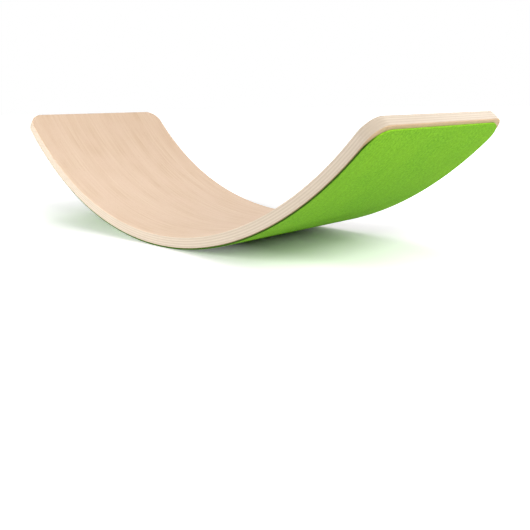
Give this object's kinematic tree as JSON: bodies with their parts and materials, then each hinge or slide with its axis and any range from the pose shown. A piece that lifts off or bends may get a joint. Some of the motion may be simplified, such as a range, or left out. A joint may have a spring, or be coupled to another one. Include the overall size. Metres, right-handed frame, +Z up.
{
  "type": "wobble board",
  "caption": "Curved rocking board for a child: bent laminated wood with rounded corners and eased edges, with a felt pad glued to its outer side.",
  "frame": {"origin": "middle of the flat strip of felt that rests on the floor", "axes": "+X along the board, +Y across it, +Z up, with the board standing on its felt and its hollow side up"},
  "size_m": [0.8356, 0.3, 0.2025],
  "materials": {
    "deck_face_wood": "sanded, clear matt varnish",
    "long_grain_wood": "sanded edge",
    "cross_grain_wood": "sanded edge, end grain",
    "back_face_wood": "sanded, clear matt varnish",
    "contact_adhesive": "matt film",
    "green_felt": "needled felt, matt and slightly fuzzy"
  },
  "bodies": {
    "root": {"deck_veneer": "deck_face_wood", "crossband_veneer_1": "cross_grain_wood", "core_veneer_1": "long_grain_wood", "crossband_veneer_2": "cross_grain_wood", "core_veneer_2": "long_grain_wood", "crossband_veneer_3": "cross_grain_wood", "core_veneer_3": "long_grain_wood", "crossband_veneer_4": "cross_grain_wood", "back_veneer": "back_face_wood", "felt_glue_film": "contact_adhesive", "felt_pad": "green_felt"}
  },
  "joints": []
}
